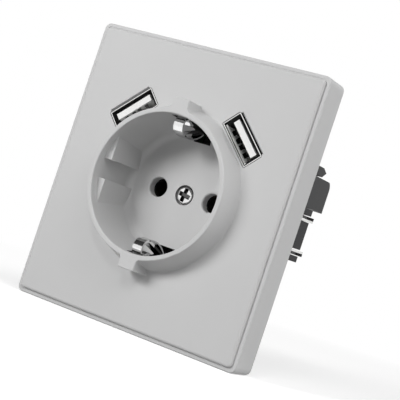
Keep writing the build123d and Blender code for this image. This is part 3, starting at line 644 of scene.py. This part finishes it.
port_nickel = shell_finish()
port_nylon = plastic_finish(
    "white_nylon", colour=(0.86, 0.86, 0.85), edge_colour=(0.9, 0.9, 0.89),
    roughness=0.4, clouds=0.05, grain_size=0.3 * mm, depth=0.004 * mm,
)
# The contact springs are given a near-black metal, as painted shade.
dark_contact = metal_finish(
    "dark_contact", colour=(0.12, 0.12, 0.12), shade=(0.08, 0.08, 0.08),
    roughness=0.4, spread=0.15, stretch=(1, 0.15, 1),
)
for side in ("right", "left"):
    dress(port_nickel, "usb_shell_" + side)
    dress(port_nylon, "usb_tongue_" + side)
    dress(dark_contact, "usb_contacts_" + side)

# Earth strap
# One strip of springy nickel-plated steel across the back of the well, with both ends bent forward
# and curled into the two clips that touch the plug's earth contacts.
clip_length = 6.5 * mm
slot_shade_black = 0.006
past_all = 1.0


def make_dark_zone():
    """Group that marks a zone behind a depth, alike on both sides and at top and bottom of the socket."""
    limits = ("Start", "Half Width", "Foot", "Top", "Reach")
    group, given, result = new_group(
        "dark_zone", {"Vector": "Vector", **{limit: "Float" for limit in limits}}, {"Zone": "Float"},
    )
    across, depth, rise = mirrored_place(group, given["Vector"])
    height = calculate(group, "ABSOLUTE", rise)
    squares = calculate(group, "MULTIPLY_ADD", across, across, calculate(group, "MULTIPLY", height, height))
    from_axis = calculate(group, "SQRT", squares)
    zone = calculate(group, "GREATER_THAN", depth, given["Start"])
    for side, test, limit in (
        (across, "LESS_THAN", "Half Width"), (height, "GREATER_THAN", "Foot"), (height, "LESS_THAN", "Top"),
        (from_axis, "LESS_THAN", "Reach"),
    ):
        zone = calculate(group, "MULTIPLY", zone, calculate(group, test, side, given[limit]))
    feed(group, result["Zone"], zone)
    return group


dark_zone = make_dark_zone()


def darken(material, level, start, half_width=past_all, foot=-past_all, top=past_all, reach=past_all):
    """Turns a finish to a dark grey in a zone behind a depth. A limit that isn't given leaves it open."""
    tree = material.node_tree
    shader = tree.nodes["Principled BSDF"]
    tone = shader.inputs["Base Color"].links[0].from_socket
    mark = add_node(tree, "ShaderNodeGroup", {
        "Vector": add_node(tree, "ShaderNodeTexCoord").outputs["Object"], "Start": start,
        "Half Width": half_width, "Foot": foot, "Top": top, "Reach": reach,
    }, node_tree=dark_zone)
    grey = (level, level, level, 1)
    feed(tree, shader.inputs["Base Color"], mix_colours(tree, mark.outputs["Zone"], tone, grey))


earth_chrome = metal_finish(
    "bright_earth_strap", colour=(0.8, 0.8, 0.8), shade=(0.7, 0.7, 0.7),
    roughness=0.1, spread=0.06, stretch=(0.15, 1, 1),
)
clip_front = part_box("earth_strap")[0].y
# Behind the curls the strap is painted black as shade.
darken(earth_chrome, slot_shade_black, clip_front + clip_length)
dress(earth_chrome, "earth_strap")

# Leaves of the earth clips
# The arm of each real clip is arched, and the arm of the solid runs straight. A bowed leaf of the same
# springy steel, from the crown of the curl back to the arm, gives the clip that arched outline.
clip_width = 3.1 * mm
clip_reach = 15.7 * mm
curl_radius = 2.9 * mm
leaf_thickness = 0.45 * mm
leaf_radius = 11.7 * mm
leaf_lean = 12.2
leaf_sweep = 53.6


def make_leaf(side):
    """Leaf of one clip: an edge along the curl's crown, swept round an arc. Side is 1 for the upper clip."""
    crown_y = clip_front + curl_radius
    crown_z = side * (clip_reach + leaf_thickness / 2)
    centre_y = crown_y + leaf_radius * sin(radians(leaf_lean))
    centre_z = crown_z + side * leaf_radius * cos(radians(leaf_lean))
    bpy.ops.object.select_all(action="DESELECT")
    bpy.ops.mesh.primitive_plane_add(size=clip_width, location=(0, crown_y + clip_width / 2, crown_z))
    leaf = bpy.context.object
    bpy.ops.object.transform_apply(location=True, rotation=True, scale=True)
    select_parts(leaf, "VERT", lambda vertex: vertex.co.y > crown_y + clip_width / 2)
    bpy.ops.mesh.delete(type="VERT")
    bpy.ops.mesh.select_all(action="SELECT")
    bpy.ops.mesh.spin(
        steps=14, angle=-side * radians(leaf_sweep), center=(0, centre_y, centre_z), axis=(1, 0, 0),
    )
    bpy.ops.object.mode_set(mode="OBJECT")
    apply_modifier(leaf, "SOLIDIFY", thickness=leaf_thickness, offset=0)
    select_parts(leaf, "FACE", lambda face: True)
    bpy.ops.mesh.normals_make_consistent(inside=False)
    bpy.ops.object.mode_set(mode="OBJECT")
    return leaf


lower_leaf = make_leaf(-1)
clip_leaves = make_leaf(1)
lower_leaf.select_set(True)
bpy.ops.object.join()
bpy.ops.object.shade_smooth_by_angle(angle=smooth_angle)
clip_leaves.name = "earth_clip_leaves"
# The leaf gets a darker copy of the strap's steel, as painted shade.
shaded_leaf_chrome = metal_finish(
    "shaded_clip_leaf", colour=(0.5, 0.5, 0.5), shade=(0.4, 0.4, 0.4),
    roughness=0.1, spread=0.06, stretch=(0.15, 1, 1),
)
clip_leaves.data.materials.append(shaded_leaf_chrome)
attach(clip_leaves, "socket")

# Claws
# A claw is pressed from sheet steel into a U and zinc-plated, and its two legs are dark grey along their
# outer edges. The legs run back beside the base, and their points are pushed out against the wall box when
# the claw's screw is turned.
claw_zinc = metal_finish(
    "bright_claw", colour=(0.76, 0.76, 0.75), shade=(0.6, 0.6, 0.59),
    roughness=0.2, spread=0.12, stretch=(1, 0.15, 1),
)
claw_edge = 0.9 * mm
claw_edge_grey = 0.02
low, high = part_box("claw_right")
darken(claw_zinc, claw_edge_grey, low.y, foot=high.z - claw_edge)
claw_head_radius = 2.75 * mm
claw_head_height = 2.0 * mm
for side in ("right", "left"):
    dress(claw_zinc, "claw_" + side)
    low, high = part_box("claw_screw_" + side)
    middle = (low + high) / 2
    claw_seat = low.y + claw_head_height
    claw_place = (middle.x, claw_seat, middle.z)
    screw = make_screw(
        claw_head_radius, claw_head_height, dome=0.85 * mm,
        cutter=cross_cutter(claw_head_height, reach=1.75 * mm, arm=0.85 * mm, depth=1.3 * mm),
        shank_radius=1.4 * mm, pitch=0.5 * mm, length=high.y - claw_seat,
    )
    claw_screw = seat_screws("claw_screw_threaded_" + side, screw, [claw_place], to_front, turn=30)
    fit_piece(claw_screw, nickel, side + "_claw_screw", "claw_screw_" + side)

# Plate frame and front cover
# The frame and the cover are moulded in the same light grey plastic with a satin grain. The cover is
# one piece with the collar and the plug well, and clamps the frame against the wall.


def satin_finish(name):
    """The light grey plastic that the frame and the cover share."""
    return plastic_finish(
        name, colour=(0.6, 0.6, 0.6), edge_colour=(0.66, 0.66, 0.66),
        roughness=0.45, clouds=0.04, grain_size=0.16 * mm, depth=0.004 * mm,
    )


satin_grey = satin_finish("satin_grey_plastic")
dress(satin_grey, "outer_frame")
slot_half_width = 2.92 * mm
slot_foot = 16.2 * mm
slot_top = 22.0 * mm
slot_setback = 2.3 * mm
slot_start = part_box("front_cover")[0].y + slot_setback
cover_grey = satin_finish("satin_grey_cover")
# The walls of the clip slots are painted black as shade.
darken(cover_grey, slot_shade_black, slot_start, slot_half_width, slot_foot, slot_top)
dress(cover_grey, "front_cover")

# Seam round the cover
# A thin lip of the frame that stands up in the joint between the frame and the cover, so that the
# joint shows as a shallow line all round.
rim_strip = 1.0 * mm
seam_width = 0.29 * mm
seam_corner = 1.5 * mm
seam_setback = 0.15 * mm
seam_depth = 1.4 * mm
low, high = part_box("outer_frame")
bpy.ops.object.select_all(action="DESELECT")
bpy.ops.mesh.primitive_plane_add(
    size=2 * (high.x - rim_strip), location=(0, low.y + seam_setback, 0), rotation=(radians(90), 0, 0),
)
seam = bpy.context.object
seam.name = "frame_seam_lip"
bpy.ops.object.transform_apply(location=True, rotation=True, scale=True)
select_parts(seam, "VERT", lambda vertex: True)
taller = (high.z - rim_strip) / (high.x - rim_strip)
bpy.ops.transform.resize(value=(1, 1, taller), center_override=(0, 0, 0))
bpy.ops.mesh.bevel(offset=seam_corner, segments=6, affect="VERTICES", offset_type="OFFSET")
bpy.ops.object.mode_set(mode="OBJECT")
select_parts(seam, "FACE", lambda face: True)
bpy.ops.mesh.inset(thickness=seam_width, use_boundary=True)
bpy.ops.mesh.delete(type="FACE")
bpy.ops.object.mode_set(mode="OBJECT")
apply_modifier(seam, "SOLIDIFY", thickness=seam_depth, offset=-1)
select_parts(seam, "FACE", lambda face: True)
bpy.ops.mesh.normals_make_consistent(inside=False)
bpy.ops.object.mode_set(mode="OBJECT")
seam.data.materials.append(satin_grey)
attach(seam, "socket")

# Screw of the front cover
# A pan-head machine screw of bright nickel-plated steel in the middle of the well's floor. Its cross
# recess takes the driver, and it draws the cover and the frame on to the yoke.
cover_head_radius = 2.7 * mm
cover_head_height = 1.6 * mm
recess_depth = 0.2 * mm
recess_reach = 2.25 * mm
recess_shade_grey = 0.1
low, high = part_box("cover_screw")
cover_seat = low.y + cover_head_height
bright_nickel = metal_finish(
    "bright_cover_screw", colour=(0.82, 0.82, 0.82), shade=(0.74, 0.74, 0.74), roughness=0.1, spread=0.06,
)
# The cross recess is painted dark grey as shade.
darken(bright_nickel, recess_shade_grey, low.y + recess_depth, reach=recess_reach)
screw = make_screw(
    cover_head_radius, cover_head_height, dome=0.7 * mm,
    cutter=cross_cutter(cover_head_height, reach=2.75 * mm, arm=1.8 * mm, depth=1.15 * mm),
    shank_radius=1.5 * mm, pitch=0.5 * mm, length=high.y - cover_seat,
)
cover_screw = seat_screws("cover_screw_threaded", screw, [(0, cover_seat, 0)], to_front, turn=80)
fit_piece(cover_screw, bright_nickel, "socket", "cover_screw")

# Floor
# A matt white sheet under the plate's lower edge. The camera sees it as white paper in full light,
# with a faint trace of the shadow that the plate throws on it.
floor_gap = 0.05 * mm
floor_level = cad_box[0].z - floor_gap
white = (1, 1, 1, 1)
bpy.ops.object.select_all(action="DESELECT")
bpy.ops.mesh.primitive_plane_add(size=6.0, location=(0, 0, floor_level))
floor = bpy.context.object
floor.name = "studio_floor"


def seen_directly(tree):
    """1 for the rays that show the floor or the sky itself, and 0 for those that light the object."""
    path = add_node(tree, "ShaderNodeLightPath").outputs
    seen = calculate(tree, "MAXIMUM", path["Is Camera Ray"], path["Is Glossy Ray"])
    return calculate(tree, "MAXIMUM", seen, path["Is Transmission Ray"])


def floor_finish():
    """White paper that shows as white, less the shadow near the object, and lights it as a grey."""
    paper_grey = (0.4, 0.4, 0.4, 1)
    shade_glow = 0.46
    shadow_middle = (0.14, 0.06, 0)
    shadow_near = 0.14
    shadow_far = 0.34
    material = bpy.data.materials.new("white_paper")
    material.use_nodes = True
    tree = material.node_tree
    tree.nodes.clear()
    paper = add_node(tree, "ShaderNodeBsdfDiffuse", {"Color": paper_grey})
    shaded = add_node(tree, "ShaderNodeBsdfDiffuse", {"Color": white})
    glow = add_node(tree, "ShaderNodeEmission", {"Color": white, "Strength": shade_glow})
    around = add_node(tree, "ShaderNodeAddShader", {0: shaded.outputs["BSDF"], 1: glow.outputs["Emission"]})
    beyond = add_node(tree, "ShaderNodeEmission", {"Color": white, "Strength": 1.0})
    ends = {0: add_node(tree, "ShaderNodeTexCoord").outputs["Object"], 1: shadow_middle}
    distance = add_node(tree, "ShaderNodeVectorMath", ends, operation="DISTANCE").outputs["Value"]
    seen = add_node(tree, "ShaderNodeMixShader", {
        0: ramp(tree, distance, shadow_near, shadow_far),
        1: around.outputs["Shader"], 2: beyond.outputs["Emission"],
    })
    mix = add_node(tree, "ShaderNodeMixShader", {
        0: seen_directly(tree), 1: paper.outputs["BSDF"], 2: seen.outputs["Shader"],
    })
    add_node(tree, "ShaderNodeOutputMaterial", {"Surface": mix.outputs["Shader"]})
    return material


floor.data.materials.append(floor_finish())

# Studio light
# Five soft boxes round the front of the plate, at a level where a colour renders about as it is
# written. Metal doesn't reflect them, so that its gloss comes from the white surround.
near_lamp = 0.6
far_lamp = 1.2
small_box = 0.15
large_box = 0.8


def direction_of(azimuth, elevation):
    """Direction from the socket to a place round it. Azimuth 0 is in front, and 90 to the plate's right."""
    turn = Quaternion((0, 0, 1), radians(azimuth)) @ Quaternion((1, 0, 0), -radians(elevation))
    return turn @ Vector((0, -1, 0))


def soft_box(name, azimuth, elevation, distance, width, power):
    """Soft box that faces the socket and stays out of reflections."""
    outward = direction_of(azimuth, elevation)
    bpy.ops.object.light_add(type="AREA", location=outward * distance)
    lamp = bpy.context.object
    lamp.name = name
    lamp.rotation_mode = "QUATERNION"
    lamp.rotation_quaternion = outward.to_track_quat("Z", "Y")
    lamp.data.size = width
    lamp.data.energy = power
    lamp.visible_glossy = False


soft_box("left_box", azimuth=-35, elevation=14, distance=near_lamp, width=small_box, power=0.83)
soft_box("upper_left_box", azimuth=-20, elevation=20, distance=near_lamp, width=small_box, power=1.4)
soft_box("upper_front_box", azimuth=15, elevation=35, distance=near_lamp, width=small_box, power=0.575)
soft_box("right_box", azimuth=100, elevation=25, distance=far_lamp, width=large_box, power=6.0)
soft_box("upper_right_box", azimuth=60, elevation=45, distance=far_lamp, width=large_box, power=4.6)

# Dark card
# A black card above the socket that only metal and gloss reflect, so that bright metal shows a
# dark band over its upper side as it does under a studio's dark ceiling.
card_place = (0, -0.7, 0.6)
card_colour = (0.02, 0.02, 0.02, 1)
bpy.ops.object.select_all(action="DESELECT")
bpy.ops.mesh.primitive_plane_add(size=2.0, location=card_place)
card = bpy.context.object
card.name = "dark_card"
card_black = new_material("black_card")[0]
card_black.node_tree.nodes["Principled BSDF"].inputs["Base Color"].default_value = card_colour
card.data.materials.append(card_black)
card.visible_camera = False
card.visible_diffuse = False
card.visible_shadow = False
card.visible_transmission = False

# Sky
# An even white surround that stands for the paper sweep of the studio. It lights nothing itself, and
# shows white behind the object and in metal.
sky_level = 0.0


def make_sky():
    """Even surround that shows as white, and lights the object at the sky's own level."""
    world = bpy.data.worlds.new("studio_sky")
    bpy.context.scene.world = world
    world.use_nodes = True
    tree = world.node_tree
    tree.nodes.clear()
    light = add_node(tree, "ShaderNodeBackground", {"Color": white, "Strength": sky_level})
    shown = add_node(tree, "ShaderNodeBackground", {"Color": white, "Strength": 1.0})
    mix = add_node(tree, "ShaderNodeMixShader", {
        0: seen_directly(tree), 1: light.outputs["Background"], 2: shown.outputs["Background"],
    })
    add_node(tree, "ShaderNodeOutputWorld", {"Surface": mix.outputs["Shader"]})


make_sky()
bpy.context.scene.view_settings.view_transform = "Standard"

# Camera
# It stands to the right of the plate and just below its middle, with a long lens, and leans so that
# the plate stands askew in the picture as it does in the photograph.
view_azimuth = 29.04
view_elevation = -1.51
view_lean = 18.54
view_distance = 350.0 * mm
aim_point = Vector((8.70, -4.72, -0.10)) * mm
lens_length = 108.77
sensor_width = 36.0
nearest_sight = 10.0 * mm
towards_camera = direction_of(view_azimuth, view_elevation)
upright = towards_camera.to_track_quat("Z", "Y")
bpy.ops.object.camera_add(location=aim_point + towards_camera * view_distance)
camera = bpy.context.object
camera.rotation_mode = "QUATERNION"
camera.rotation_quaternion = upright @ Quaternion((0, 0, 1), radians(view_lean))
camera.data.lens = lens_length
camera.data.sensor_width = sensor_width
camera.data.clip_start = nearest_sight
bpy.context.scene.camera = camera
